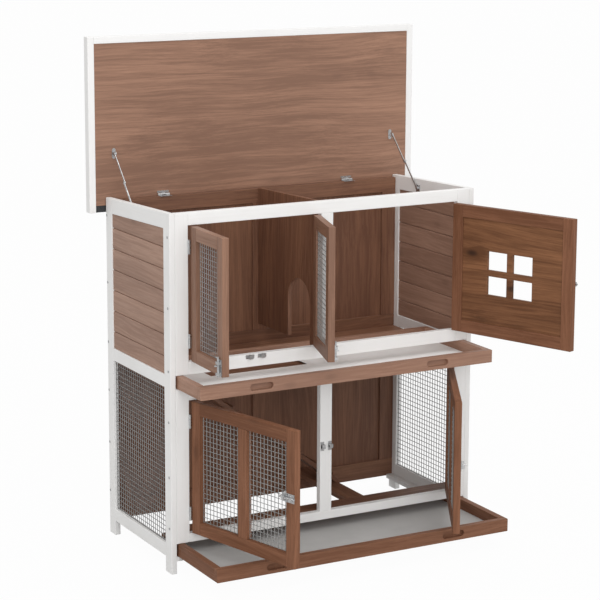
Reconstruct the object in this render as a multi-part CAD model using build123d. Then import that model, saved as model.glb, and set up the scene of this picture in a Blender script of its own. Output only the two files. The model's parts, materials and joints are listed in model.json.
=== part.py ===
from build123d import *
import math
import os

os.makedirs("parts", exist_ok=True)

# Two-storey rabbit hutch. Millimetres, X across the front, -Y to the front, +Z up.
# Origin: on the ground in the middle of the front left foot. The dimensions below are
# measured from the middle of the footprint and moved there when each piece is written.
# Everything stands open: roof up, doors swung out, both trays drawn forward.

# Carcass
WIDTH = 900.0
DEPTH = 390.0
H_FRONT = 933.0
H_REAR = 919.0
SIDE_T = 15.0
STILE_W = 36.0
FRAME_T = 18.0
X_IN = WIDTH / 2 - SIDE_T
Y_FRONT = -DEPTH / 2
Y_REAR = DEPTH / 2
Y_IN = Y_FRONT + FRAME_T
Y_BACK = Y_REAR - FRAME_T
SLOPE = (H_FRONT - H_REAR) / DEPTH

# Side walls, heights of the rails
TOP_RAIL_H = 40.0
MID_RAIL = (485.0, 518.0)
FOOT_RAIL = (40.0, 74.0)
PLANK_T = 9.0
PLANKS = 7
PLANK_PITCH = 55.8
PLANK_FIRST = 562.8
PLANK_V = 2.5

# Front frames
POST_X = 398.5
MID_POST = 17.5
UPPER = (519.0, 552.0, 900.0, 932.0)
LOWER = (79.0, 102.0, 452.0, 484.4)

# Floor, ramp and base
FLOOR = (472.0, 484.4)
HOLE_X = (-307.0, -25.0)
HOLE_Y = (6.0, 118.0)
WALL_T = 12.0
WALL_FOOT = 537.0
ARCH_Y = (-115.0, 5.0)
ARCH_SPRING = 644.0
BASE = (86.0, 102.0)
BASE_FRONT_Y = -125.0
BASE_BAR_X = (106.0, 158.0)
RAMP_TOP = (-305.0, 455.0)
RAMP_FOOT = (160.0, 110.5)
RAMP_T = 12.0
RAMP_Y = (12.0, 106.0)
CLEATS = 9

# Back wall
BACK_TOP = 913.0
BACK_FOOT = 39.0
BACK_STILE = 44.0
BACK_PANEL_T = 6.0

# Welded mesh
WIRE = 1.3
PITCH = 12.7

# Doors: all 18 thick, hung on pins that stand proud of the front
DOOR_T = 18.0
PIN_OUT = 4.0
PIN_X = 0.75
GAP = 1.5
DOOR_STILE = 31.0
DOOR_RAIL = 33.0
SMALL_W = 187.3
WIDE_W = 377.8
UPPER_Z = (554.0, 898.0)
LOWER_Z = (104.0, 450.0)
OPEN_1 = 92.0
OPEN_2 = 72.0
OPEN_3 = 110.0
OPEN_4 = 75.0
OPEN_5 = 60.0
BOLT_Z3 = 727.0
BOLT_Z45 = 280.0

# Trays
TRAY_X = 430.5
TRAY_D = 322.0
TRAY_WALL = 18.0
UPPER_TRAY = (484.8, 518.4)
LOWER_TRAY = (44.4, 78.4)
UPPER_OUT = 130.5
LOWER_OUT = 220.0
PAN_UP = 6.5
PAN_T = 1.0
PAN_LIP = 12.5
SLOT_X = 259.5
SLOT_W = 65.0
SLOT_H = 17.0
SLOT_DEEP = 12.0

# Roof, drawn standing straight up behind the back wall
ROOF_Y = 195.5
ROOF_X = 496.0
ROOF_DOWN = 37.0
ROOF_UP = 426.0
ROOF_T = 24.0
ROOF_RAIL = 18.5
PIVOT_Y = 192.0
PIVOT_Z = 916.106

# Folding stays of the roof
STAY_B = (185.5, 1034.0)
STAY_P = (57.3, 898.6)
STAY_M = ((STAY_B[0] + STAY_P[0]) / 2, (STAY_B[1] + STAY_P[1]) / 2)


def box(x, y, z):
    # a square-edged bar between two coordinates on each axis
    return Pos((x[0] + x[1]) / 2, (y[0] + y[1]) / 2, (z[0] + z[1]) / 2) * Box(
        abs(x[1] - x[0]), abs(y[1] - y[0]), abs(z[1] - z[0])
    )


def rod(start, end, radius):
    # a round bar between two points
    a = Vector(*start)
    b = Vector(*end)
    plane = Plane(origin=a, z_dir=b - a)
    return extrude(plane * Circle(radius), (b - a).length)


def mirror_x(shapes):
    return [mirror(s, about=Plane.YZ) for s in shapes]


def solids_of(shapes):
    found = []
    for s in shapes:
        found += list(s.solids())
    return found


def save(node, shapes):
    to_foot = Pos(WIDTH / 2 - SIDE_T / 2, -Y_FRONT - STILE_W / 2, 0)
    whole = Compound(children=solids_of([to_foot * s for s in shapes]))
    whole.label = node
    export_step(whole, f"parts/{node}.step")


def top_at(y):
    # height of the sloping top edge of the side walls
    return H_FRONT - (y - Y_FRONT) * SLOPE


def under_slope(shape, drop=0.0):
    # what lies under the sloping top edge, lowered by drop
    pts = [
        (Y_FRONT - 50, 0),
        (Y_REAR + 50, 0),
        (Y_REAR + 50, top_at(Y_REAR + 50) - drop),
        (Y_FRONT - 50, top_at(Y_FRONT - 50) - drop),
    ]
    prism = extrude(Plane.YZ * Polygon(*pts, align=None), 600, both=True)
    return shape & prism


def mesh_sheet(x, z, y, across="x"):
    # welded square mesh drawn as one flat grille between two coordinates each way
    w = x[1] - x[0]
    h = z[1] - z[0]
    nx = round((w - WIRE) / PITCH)
    nz = round((h - WIRE) / PITCH)
    px = (w - WIRE) / nx
    pz = (h - WIRE) / nz
    holes = []
    for i in range(nx):
        for j in range(nz):
            a = x[0] + WIRE + i * px
            b = z[0] + WIRE + j * pz
            c = a + px - WIRE
            d = b + pz - WIRE
            holes.append(Wire.make_polygon([(a, 0, b), (c, 0, b), (c, 0, d), (a, 0, d)]))
    rim = Wire.make_polygon([(x[0], 0, z[0]), (x[1], 0, z[0]), (x[1], 0, z[1]), (x[0], 0, z[1])])
    sheet = extrude(Face(rim, holes), WIRE, dir=(0, 1, 0))
    if across == "x":
        return Pos(0, y, 0) * sheet
    return Pos(y, 0, 0) * Rot(0, 0, 90) * sheet


# ---- side walls ----
def side_frame():
    # two stiles that run down as legs, with three rails between them
    x = (-WIDTH / 2, -X_IN)
    y0 = Y_FRONT + STILE_W
    y1 = Y_REAR - STILE_W
    front = under_slope(box(x, (Y_FRONT, y0), (0, H_FRONT + 20)))
    rear = under_slope(box(x, (y1, Y_REAR), (0, H_FRONT + 20)))
    top = under_slope(box(x, (y0, y1), (860, H_FRONT + 20)))
    top = top - under_slope(box(x, (y0, y1), (0, H_FRONT + 20)), TOP_RAIL_H)
    mid = box(x, (y0, y1), MID_RAIL)
    foot = box(x, (y0, y1), FOOT_RAIL)
    return [front, rear, top, mid, foot]


def side_planks():
    # seven horizontal boards with chamfered edges that make the V-grooves
    y0 = Y_FRONT + STILE_W
    y1 = Y_REAR - STILE_W
    xa = -WIDTH / 2 + 3
    xb = xa + PLANK_T
    v = PLANK_V
    boards = []
    for i in range(PLANKS):
        z0 = MID_RAIL[1] if i == 0 else PLANK_FIRST + (i - 1) * PLANK_PITCH
        z1 = PLANK_FIRST + i * PLANK_PITCH if i < PLANKS - 1 else H_FRONT
        lo = 0 if i == 0 else v
        hi = 0 if i == PLANKS - 1 else v
        pts = [
            (xa + lo, z0),
            (xb - lo, z0),
            (xb, z0 + lo),
            (xb, z1 - hi),
            (xb - hi, z1),
            (xa + hi, z1),
            (xa, z1 - hi),
            (xa, z0 + lo),
        ]
        pts = [p for k, p in enumerate(pts) if p != pts[k - 1]]
        board = extrude(Plane.XZ.offset(-y0) * Polygon(*pts, align=None), y1 - y0, dir=(0, 1, 0))
        if i == PLANKS - 1:
            board = under_slope(board, TOP_RAIL_H)
        boards.append(board)
    return boards


def side_mesh():
    y = (Y_FRONT + STILE_W, Y_REAR - STILE_W)
    return [mesh_sheet(y, (FOOT_RAIL[1], MID_RAIL[0]), -WIDTH / 2 + 8, "y")]


def side_screws():
    # countersunk heads on the outside of the stiles, six to a stile
    heads = []
    for y in (-184.0, 189.0):
        for z in (872.0, 692.0, 530.0, 398.0, 254.0, 119.0):
            head = rod((-WIDTH / 2 - 0.8, y, z), (-WIDTH / 2, y, z), 3.4)
            slot = box((-WIDTH / 2 - 1, -WIDTH / 2 - 0.4), (y - 0.5, y + 0.5), (z - 2.4, z + 2.4))
            heads.append(head - slot)
    return heads + mirror_x(heads)


# ---- front frames ----
def front_frame(levels):
    # outer stiles, centre stile and two rails, standing between the side walls
    z0, z1, z2, z3 = levels
    y = (Y_FRONT, Y_IN)
    members = [
        box((-X_IN, -POST_X), y, (z0, z3)),
        box((POST_X, X_IN), y, (z0, z3)),
        box((-POST_X, POST_X), y, (z0, z1)),
        box((-POST_X, POST_X), y, (z2, z3)),
        box((-MID_POST, MID_POST), y, (z1, z2)),
    ]
    return members


# ---- back wall ----
def back_frame():
    # rails and stiles across the back
    y = (Y_BACK, Y_REAR)
    x = (-X_IN, X_IN)
    s = BACK_STILE
    rails = [
        box(x, y, (BACK_FOOT, BACK_FOOT + 50)),
        box(x, y, (472.0, 518.0)),
        box(x, y, (BACK_TOP - 40, BACK_TOP)),
    ]
    stiles = []
    for z in ((BACK_FOOT + 50, 472.0), (518.0, BACK_TOP - 40)):
        for xa in (-X_IN, -s / 2, X_IN - s):
            stiles.append(box((xa, xa + s), y, z))
    return rails + stiles


def back_panels():
    # four sunk panels
    s = BACK_STILE
    yc = (Y_BACK + Y_REAR) / 2
    y = (yc - BACK_PANEL_T / 2, yc + BACK_PANEL_T / 2)
    panels = []
    for z in ((BACK_FOOT + 50, 472.0), (518.0, BACK_TOP - 40)):
        for x in ((-X_IN + s, -s / 2), (s / 2, X_IN - s)):
            panels.append(box(x, y, z))
    return panels


# ---- inside ----
def partition():
    # divider of the upper storey with a round-headed doorway
    x = (-WALL_T / 2, WALL_T / 2)
    wall = under_slope(box(x, (Y_IN, Y_BACK), (WALL_FOOT, H_FRONT + 20)), 5.0)
    r = (ARCH_Y[1] - ARCH_Y[0]) / 2
    yc = (ARCH_Y[1] + ARCH_Y[0]) / 2
    wall -= box((-20, 20), ARCH_Y, (WALL_FOOT - 5, ARCH_SPRING))
    wall -= rod((-20, yc, ARCH_SPRING), (20, yc, ARCH_SPRING), r)
    return [wall]


def upper_floor():
    # boards the upper tray slides on, in four pieces round the ramp hole
    z = FLOOR
    return [
        box((-X_IN, HOLE_X[0]), (Y_IN, Y_BACK), z),
        box((HOLE_X[1], X_IN), (Y_IN, Y_BACK), z),
        box(HOLE_X, (Y_IN, HOLE_Y[0]), z),
        box(HOLE_X, (HOLE_Y[1], Y_BACK), z),
    ]


def base_bars():
    # flat boards at the bottom: one along the front, one from front to back
    return [
        box((-X_IN, X_IN), (Y_IN, BASE_FRONT_Y), BASE),
        box(BASE_BAR_X, (BASE_FRONT_Y, Y_BACK), BASE),
    ]


def ramp_dir():
    dx = RAMP_FOOT[0] - RAMP_TOP[0]
    dz = RAMP_FOOT[1] - RAMP_TOP[1]
    n = math.hypot(dx, dz)
    return dx / n, dz / n


def ramp_board():
    # sloping board whose foot is cut level to stand on the base bar
    ux, uz = ramp_dir()
    drop = RAMP_T / ux
    xa, za = RAMP_TOP
    xb, zb = RAMP_FOOT
    under = (zb - drop - BASE[1]) / (uz / ux)
    pts = [(xa, za), (xb, zb), (xb, BASE[1]), (xb - under, BASE[1]), (xa, za - drop)]
    face = Plane.XZ.offset(-RAMP_Y[0]) * Polygon(*pts, align=None)
    return [extrude(face, RAMP_Y[1] - RAMP_Y[0], dir=(0, 1, 0))]


def ramp_cleats():
    # cross battens that give the animals a grip
    ux, uz = ramp_dir()
    length = math.hypot(RAMP_FOOT[0] - RAMP_TOP[0], RAMP_FOOT[1] - RAMP_TOP[1])
    cleats = []
    for i in range(CLEATS):
        t = length * (i + 0.7) / CLEATS
        x = RAMP_TOP[0] + ux * t
        z = RAMP_TOP[1] + uz * t
        bar = Pos(0, 0, 3) * Box(9, RAMP_Y[1] - RAMP_Y[0] - 6, 6)
        tilt = math.degrees(math.atan2(-uz, ux))
        cleats.append(Pos(x, (RAMP_Y[0] + RAMP_Y[1]) / 2, z) * Rot(0, tilt, 0) * bar)
    return cleats


def ramp_hanger():
    # batten under the floor that carries the upper end of the ramp
    return [box((-335.0, RAMP_TOP[0]), (Y_IN + 60, Y_BACK), (432.0, FLOOR[0]))]


def tray_runners():
    # strips on the inside of the foot rails that carry the lower tray
    runner = box((-X_IN, -X_IN + 20), (Y_FRONT + 2, Y_BACK), (32.0, 44.0))
    return [runner] + mirror_x([runner])


# ---- trays ----
def tray_frame(levels, out):
    # four boards; the front one has two round-ended finger pulls sunk in its face
    z0, z1 = levels
    y0 = Y_FRONT - out
    y1 = y0 + TRAY_D
    w = TRAY_WALL
    front = box((-TRAY_X, TRAY_X), (y0, y0 + w), levels)
    zc = z0 + (z1 - z0) / 2
    r = SLOT_H / 2
    for x in (-SLOT_X, SLOT_X):
        a = x - SLOT_W / 2 + r
        b = x + SLOT_W / 2 - r
        front -= box((a, b), (y0 - 1, y0 + SLOT_DEEP), (zc - r, zc + r))
        front -= rod((a, y0 - 1, zc), (a, y0 + SLOT_DEEP, zc), r)
        front -= rod((b, y0 - 1, zc), (b, y0 + SLOT_DEEP, zc), r)
    back = box((-TRAY_X, TRAY_X), (y1 - w, y1), levels)
    left = box((-TRAY_X, -TRAY_X + w), (y0 + w, y1 - w), levels)
    right = box((TRAY_X - w, TRAY_X), (y0 + w, y1 - w), levels)
    return [front, back, left, right]


def tray_pan(levels, out, cut):
    # thin flat sheet that fills the frame from wall to wall
    z0 = levels[0]
    y0 = Y_FRONT - out + TRAY_WALL
    y1 = y0 + TRAY_D - 2 * TRAY_WALL
    x = (-TRAY_X + TRAY_WALL, TRAY_X - TRAY_WALL)
    pan = box(x, (y0, y1), (z0 + PAN_UP - PAN_T, z0 + PAN_UP))
    if cut:
        pan -= box(HOLE_X, (HOLE_Y[0] - PAN_LIP - out, y1 - 6), levels)
    return [pan]


# ---- doors ----
def swing(shapes, pin, angle, hand):
    # turn a door about its pin; hand 1 hangs on the left, -1 on the right
    out = []
    for s in shapes:
        out.append(Pos(pin[0], pin[1], 0) * Rot(0, 0, -hand * angle) * Pos(-pin[0], -pin[1], 0) * s)
    return out


def door_pin(edge, hand):
    return (edge + hand * PIN_X, Y_FRONT - PIN_OUT)


def span(edge, hand, a, b):
    # distances from the hinge edge turned into an x range
    xa = edge + hand * (GAP + a)
    xb = edge + hand * (GAP + b)
    return (min(xa, xb), max(xa, xb))


def door_frame(edge, hand, width, z, bars=()):
    # stiles, rails and any bars between them, given as distances from the hinge side
    y = (Y_FRONT, Y_FRONT + DOOR_T)
    s = DOOR_STILE
    members = [
        box(span(edge, hand, 0, s), y, z),
        box(span(edge, hand, width - s, width), y, z),
        box(span(edge, hand, s, width - s), y, (z[0], z[0] + DOOR_RAIL)),
        box(span(edge, hand, s, width - s), y, (z[1] - DOOR_RAIL, z[1])),
    ]
    for a, b in bars:
        members.append(box(span(edge, hand, a, b), y, (z[0] + DOOR_RAIL, z[1] - DOOR_RAIL)))
    return members


def door_mesh(edge, hand, z, bays):
    y = Y_FRONT + DOOR_T - 7
    return [
        mesh_sheet(span(edge, hand, a, b), (z[0] + DOOR_RAIL, z[1] - DOOR_RAIL), y)
        for a, b in bays
    ]


def solid_panel(edge, hand, width, z):
    # boarded panel with a four-light window cut through it
    y = (Y_FRONT + 4, Y_FRONT + DOOR_T - 4)
    inner = (z[0] + DOOR_RAIL, z[1] - DOOR_RAIL)
    panel = box(span(edge, hand, DOOR_STILE, width - DOOR_STILE), y, inner)
    zc = 724.0
    for a in (110.0, 190.0):
        for c in (zc - 58.5, zc + 8.0):
            x = span(edge, hand, a, a + 63)
            panel -= box(x, (Y_FRONT - 5, Y_FRONT + 30), (c, c + 50.5))
    return [panel]


def knuckle(x, y, z, inner):
    ring = rod((x, y, z[0]), (x, y, z[1]), 3.0)
    if inner:
        ring -= rod((x, y, z[0] - 1), (x, y, z[1] + 1), inner)
    return ring


def fixed_leaf(edge, hand, z):
    # leaf on the frame: plate in the gap, two knuckles and the pin through all three
    px, py = door_pin(edge, hand)
    x = (edge, edge + hand * 0.6)
    leaf = box(x, (py + 3.3, py + 20), (z - 18, z + 18))
    for a, b in ((-18, -6.2), (6.2, 18)):
        leaf += knuckle(px, py, (z + a, z + b), 0)
        leaf += box(x, (py + 1.0, py + 3.4), (z + a, z + b))
    leaf += rod((px, py, z - 18), (px, py, z + 18), 1.2)
    return leaf


def moving_leaf(edge, hand, z):
    # leaf on the door: plate on its edge and the middle knuckle
    px, py = door_pin(edge, hand)
    x = (edge + hand * 0.9, edge + hand * 1.5)
    leaf = box(x, (py + 3.3, py + 20), (z - 18, z + 18))
    leaf += knuckle(px, py, (z - 5.8, z + 5.8), 0)
    leaf += box(x, (py + 1.4, py + 3.4), (z - 5.8, z + 5.8))
    leaf -= rod((px, py, z - 19), (px, py, z + 19), 1.25)
    return leaf


def hinge_heights(z):
    return (z[0] + 52, z[1] - 52)


def barrel_base():
    # plate and two guides; the bolt lies along Z and shoots towards -Z, the door edge is at z 0
    plate = box((-11, 11), (-1.5, 0), (1.5, 43.5))
    for a, b in ((3, 10), (31, 38)):
        plate += box((-5.4, 5.4), (-9.6, -1.5), (a, b))
    plate -= rod((0, -4.9, -1), (0, -4.9, 50), 3.1)
    for z in (16.0, 25.0):
        for x in (-8, 8):
            plate -= rod((x, -2, z), (x, 1, z), 1.4)
    return plate


def barrel_rod():
    # round bolt with its thumb knob, drawn back
    bolt = rod((0, -4.9, -1), (0, -4.9, 50), 2.8)
    return bolt + rod((0, -4.9, 27), (0, -14, 27), 2.2)


def keeper():
    # strap with a raised loop the bolt slides into, the same axes as barrel_base
    strap = box((-12, 12), (-1.5, 0), (-13, -3))
    loop = box((-5.2, 5.2), (-9.8, -1.5), (-13, -3))
    loop -= box((-3.4, 3.4), (-8.3, -1.5), (-14, -2))
    return strap + loop


def place_down(shape, x, z):
    # a bolt that shoots down, at the foot of a door
    return Pos(x, Y_FRONT, z) * shape


def place_side(shape, x, z, hand):
    # a bolt that shoots sideways; hand 1 shoots towards +X
    return Pos(x, Y_FRONT, z) * Rot(0, -hand * 90, 0) * shape


# ---- roof ----
def roof_frame():
    # white edging on both sides and along the front edge, which stands uppermost
    y = (ROOF_Y, ROOF_Y + ROOF_T)
    z0 = PIVOT_Z - ROOF_DOWN
    z1 = PIVOT_Z + ROOF_UP
    r = ROOF_RAIL
    return [
        box((-ROOF_X, -ROOF_X + r), y, (z0, z1)),
        box((ROOF_X - r, ROOF_X), y, (z0, z1)),
        box((-ROOF_X + r, ROOF_X - r), y, (z1 - r, z1)),
    ]


def roof_panel():
    # boarded underside, a little sunk in the edging
    y = (ROOF_Y + 1.5, ROOF_Y + 13.5)
    z0 = PIVOT_Z - ROOF_DOWN + 18
    z1 = PIVOT_Z + ROOF_UP - ROOF_RAIL
    panel = box((-ROOF_X + ROOF_RAIL, ROOF_X - ROOF_RAIL), y, (z0, z1))
    return [panel]


def roof_felt():
    # mineral felt over the boards, wrapped round the rear edge
    x = (-ROOF_X + ROOF_RAIL, ROOF_X - ROOF_RAIL)
    z0 = PIVOT_Z - ROOF_DOWN
    z1 = PIVOT_Z + ROOF_UP - ROOF_RAIL
    sheet = box(x, (ROOF_Y + 13.5, ROOF_Y + 22), (z0, z1))
    wrap = box(x, (ROOF_Y + 4.0, ROOF_Y + 13.5), (z0, z0 + 18))
    return [sheet + wrap]


def roof_hinge_fixed(x):
    # leaf on the back rail with outer knuckles and pin
    leaf = box((x - 17, x + 17), (PIVOT_Y - 18, PIVOT_Y - 3.2), (BACK_TOP, BACK_TOP + 0.8))
    for a, b in ((-17, -6.2), (6.2, 17)):
        leaf += rod((x + a, PIVOT_Y, PIVOT_Z), (x + b, PIVOT_Y, PIVOT_Z), 2.6)
        leaf += box((x + a, x + b), (PIVOT_Y - 3.4, PIVOT_Y), (BACK_TOP, BACK_TOP + 1.3))
    leaf += rod((x - 17, PIVOT_Y, PIVOT_Z), (x + 17, PIVOT_Y, PIVOT_Z), 1.1)
    return leaf


def roof_hinge_moving(x):
    # leaf on the underside of the roof with the middle knuckle
    leaf = box((x - 17, x + 17), (ROOF_Y + 0.7, ROOF_Y + 1.5), (PIVOT_Z + 3.4, PIVOT_Z + 9))
    leaf += rod((x - 5.8, PIVOT_Y, PIVOT_Z), (x + 5.8, PIVOT_Y, PIVOT_Z), 2.6)
    web = box((x - 5.8, x + 5.8), (PIVOT_Y + 1.3, ROOF_Y + 1.5), (PIVOT_Z + 0.4, PIVOT_Z + 3.6))
    leaf += web
    leaf -= rod((x - 18, PIVOT_Y, PIVOT_Z), (x + 18, PIVOT_Y, PIVOT_Z), 1.15)
    return leaf


# ---- folding stays, drawn for the right side ----
def link(a, b, x, eye=4.5, width=5.0):
    # flat bar with a round eye at each end
    dy = b[0] - a[0]
    dz = b[1] - a[1]
    n = math.hypot(dy, dz)
    h = width / 2
    oy = -dz / n * h
    oz = dy / n * h
    pts = [(a[0] + oy, a[1] + oz), (b[0] + oy, b[1] + oz), (b[0] - oy, b[1] - oz), (a[0] - oy, a[1] - oz)]
    bar = extrude(Plane.YZ.offset(x[0]) * Polygon(*pts, align=None), x[1] - x[0], dir=(1, 0, 0))
    for p in (a, b):
        bar += rod((x[0], p[0], p[1]), (x[1], p[0], p[1]), eye)
    return bar


def pin_hole(p, radius):
    return rod((400, p[0], p[1]), (440, p[0], p[1]), radius)


def stay_upper():
    # link hung on the roof; it carries the rivet of the middle joint
    bar = link(STAY_B, STAY_M, (426.4, 428.4)) - pin_hole(STAY_B, 1.86)
    rivet = rod((426.4, *STAY_M), (431.6, *STAY_M), 1.8)
    head = rod((431.2, *STAY_M), (432.2, *STAY_M), 3.0)
    return bar + rivet + head


def stay_lower():
    # link whose lower eye turns on the bracket of the side wall
    bar = link(STAY_M, STAY_P, (428.8, 430.8)) - pin_hole(STAY_M, 1.86)
    cap = rod((427.6, *STAY_P), (428.8, *STAY_P), 3.4)
    return bar + cap


def stay_wall_bracket():
    plate = box((433.4, X_IN), (STAY_P[0] - 9, STAY_P[0] + 9), (STAY_P[1] - 12, STAY_P[1] + 9))
    boss = rod((431.2, *STAY_P), (433.4, *STAY_P), 4.5)
    return plate + boss


def stay_roof_bracket():
    y1 = ROOF_Y + 1.5
    plate = box((420.0, 430.0), (y1 - 1.6, y1), (STAY_B[1] - 9, STAY_B[1] + 9))
    for z in (STAY_B[1] - 9, STAY_B[1] + 9):
        plate += rod((425.0, y1 - 1.6, z), (425.0, y1, z), 5.0)
    lug = box((423.8, 426.0), (STAY_B[0], y1), (STAY_B[1] - 6, STAY_B[1] + 6))
    lug += rod((423.8, *STAY_B), (426.0, *STAY_B), 6.0)
    rivet = rod((424.0, *STAY_B), (429.2, *STAY_B), 1.8)
    head = rod((428.8, *STAY_B), (429.6, *STAY_B), 3.0)
    return plate + lug + rivet + head


# ---- write the pieces ----
save("side_frame_left", side_frame())
save("side_frame_right", mirror_x(side_frame()))
save("side_planks_left", side_planks())
save("side_planks_right", mirror_x(side_planks()))
save("side_mesh_left", side_mesh())
save("side_mesh_right", mirror_x(side_mesh()))
save("side_screws", side_screws())
save("front_frame_upper", front_frame(UPPER))
save("front_frame_lower", front_frame(LOWER))
save("back_frame", back_frame())
save("back_panels", back_panels())
save("partition", partition())
save("upper_floor", upper_floor())
save("base_bars", base_bars())
save("ramp_board", ramp_board())
save("ramp_cleats", ramp_cleats())
save("ramp_hanger", ramp_hanger())
save("tray_runners", tray_runners())
save("tray_upper_frame", tray_frame(UPPER_TRAY, UPPER_OUT))
save("tray_upper_pan", tray_pan(UPPER_TRAY, UPPER_OUT, True))
save("tray_lower_frame", tray_frame(LOWER_TRAY, LOWER_OUT))
save("tray_lower_pan", tray_pan(LOWER_TRAY, LOWER_OUT, False))

# name, hinge edge, hand, width, heights, open angle, mesh bays, bars
MID_BAR = (173.4, 204.4)
DOORS = [
    ("door_1", -POST_X, 1, SMALL_W, UPPER_Z, OPEN_1, [(31.0, SMALL_W - 31)], []),
    ("door_2", -MID_POST, -1, SMALL_W, UPPER_Z, OPEN_2, [(31.0, SMALL_W - 31)], []),
    ("door_3", POST_X, -1, WIDE_W, UPPER_Z, OPEN_3, [], []),
    ("door_4", -POST_X, 1, WIDE_W, LOWER_Z, OPEN_4, [(31.0, 173.4), (204.4, WIDE_W - 31)], [MID_BAR]),
    ("door_5", POST_X, -1, WIDE_W, LOWER_Z, OPEN_5, [(31.0, 173.4), (204.4, WIDE_W - 31)], [MID_BAR]),
]
fixed_leaves = []
keepers = []
for name, edge, hand, width, z, angle, bays, bars in DOORS:
    pin = door_pin(edge, hand)
    leaves = [moving_leaf(edge, hand, h) for h in hinge_heights(z)]
    fixed_leaves += [fixed_leaf(edge, hand, h) for h in hinge_heights(z)]
    frame = door_frame(edge, hand, width, z, bars)
    infill = door_mesh(edge, hand, z, bays) if bays else solid_panel(edge, hand, width, z)
    if width == SMALL_W:
        xb = edge + hand * (GAP + width - 15.5)
        base = place_down(barrel_base(), xb, z[0])
        bolt = place_down(barrel_rod(), xb, z[0])
        keepers.append(place_down(keeper(), xb, z[0]))
    else:
        xb = edge + hand * (GAP + width)
        zb = BOLT_Z3 if z == UPPER_Z else BOLT_Z45
        base = place_side(barrel_base(), xb, zb, hand)
        bolt = place_side(barrel_rod(), xb, zb, hand)
        keepers.append(place_side(keeper(), xb, zb, hand))
    save(name + "_frame", swing(frame, pin, angle, hand))
    save(name + ("_mesh" if bays else "_panel"), swing(infill, pin, angle, hand))
    save(name + "_leaves", swing(leaves, pin, angle, hand))
    save(name + "_bolt_plate", swing([base], pin, angle, hand))
    save(name + "_bolt", swing([bolt], pin, angle, hand))
save("door_hinge_leaves", fixed_leaves)
save("keepers", keepers)

save("roof_frame", roof_frame())
save("roof_panel", roof_panel())
save("roof_felt", roof_felt())
save("roof_hinge_fixed", [roof_hinge_fixed(x) for x in (-283.0, 283.0)])
save("roof_hinge_moving", [roof_hinge_moving(x) for x in (-283.0, 283.0)])
save("stay_brackets_wall", [stay_wall_bracket()] + mirror_x([stay_wall_bracket()]))
save("stay_brackets_roof", [stay_roof_bracket()] + mirror_x([stay_roof_bracket()]))
save("stay_upper_right", [stay_upper()])
save("stay_lower_right", [stay_lower()])
save("stay_upper_left", mirror_x([stay_upper()]))
save("stay_lower_left", mirror_x([stay_lower()]))
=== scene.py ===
import json
import math
import random

import bmesh
import bpy
from mathutils import Matrix, Vector


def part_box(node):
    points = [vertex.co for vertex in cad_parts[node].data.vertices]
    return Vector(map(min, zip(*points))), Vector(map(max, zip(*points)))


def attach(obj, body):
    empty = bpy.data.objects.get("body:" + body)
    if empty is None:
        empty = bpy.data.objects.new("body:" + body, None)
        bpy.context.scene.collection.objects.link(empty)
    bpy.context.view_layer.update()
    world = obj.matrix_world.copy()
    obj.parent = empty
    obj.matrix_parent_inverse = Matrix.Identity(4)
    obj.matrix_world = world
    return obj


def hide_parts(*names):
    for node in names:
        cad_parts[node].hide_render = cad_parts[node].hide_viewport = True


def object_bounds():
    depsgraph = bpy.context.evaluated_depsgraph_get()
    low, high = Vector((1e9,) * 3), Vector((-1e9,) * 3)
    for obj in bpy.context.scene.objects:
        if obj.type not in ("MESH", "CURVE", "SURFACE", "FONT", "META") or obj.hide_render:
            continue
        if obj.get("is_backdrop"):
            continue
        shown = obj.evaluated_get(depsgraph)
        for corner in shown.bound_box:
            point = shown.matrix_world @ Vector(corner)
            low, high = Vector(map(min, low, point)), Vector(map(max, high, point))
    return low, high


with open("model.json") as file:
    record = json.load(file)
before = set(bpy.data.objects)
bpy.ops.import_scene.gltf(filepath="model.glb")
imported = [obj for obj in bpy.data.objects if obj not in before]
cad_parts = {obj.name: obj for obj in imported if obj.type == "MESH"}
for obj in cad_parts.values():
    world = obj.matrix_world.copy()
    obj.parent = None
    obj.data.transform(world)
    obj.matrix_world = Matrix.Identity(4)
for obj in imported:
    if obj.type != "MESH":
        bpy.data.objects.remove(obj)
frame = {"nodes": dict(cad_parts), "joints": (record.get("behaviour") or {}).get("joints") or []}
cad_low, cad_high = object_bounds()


# ---------------------------------------------------------------- studio
# The hutch stands on a plain white floor, seen from a little left of its front.
# A bright even sky and two large soft lamps light it, as in a white room.
scene = bpy.context.scene
scene.view_settings.view_transform = "Standard"

bpy.ops.object.select_all(action="DESELECT")
camera = bpy.data.cameras.new("studio_camera")
camera.lens = 120.6
camera.sensor_width = 36.0
camera.shift_x = 0.0742
camera.shift_y = -0.1
camera.clip_end = 60.0
camera_stand = bpy.data.objects.new("studio_camera", camera)
camera_stand.location = (-2.0933, -4.4426, 1.7605)
camera_stand.rotation_euler = (math.radians(90 - 10.353), 0.0, math.radians(-27.737))
scene.collection.objects.link(camera_stand)
scene.camera = camera_stand

world = bpy.data.worlds.new("white_room")
scene.world = world
world.use_nodes = True
sky = world.node_tree.nodes["Background"]
sky.inputs["Color"].default_value = (1.0, 0.995, 0.985, 1.0)
seen = world.node_tree.nodes.new("ShaderNodeLightPath")
glow = world.node_tree.nodes.new("ShaderNodeMapRange")
glow.inputs["To Min"].default_value = 0.83
glow.inputs["To Max"].default_value = 1.0
world.node_tree.links.new(seen.outputs["Is Camera Ray"], glow.inputs["Value"])
world.node_tree.links.new(glow.outputs["Result"], sky.inputs["Strength"])


def soft_lamp(name, place, aim, width, height, watts):
    """A rectangular softbox at a place, turned to face a point."""
    lamp = bpy.data.lights.new(name, "AREA")
    lamp.shape = "RECTANGLE"
    lamp.size = width
    lamp.size_y = height
    lamp.energy = watts
    stand = bpy.data.objects.new(name, lamp)
    stand.location = place
    stand.rotation_euler = (Vector(aim) - Vector(place)).to_track_quat("-Z", "Y").to_euler()
    scene.collection.objects.link(stand)


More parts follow.
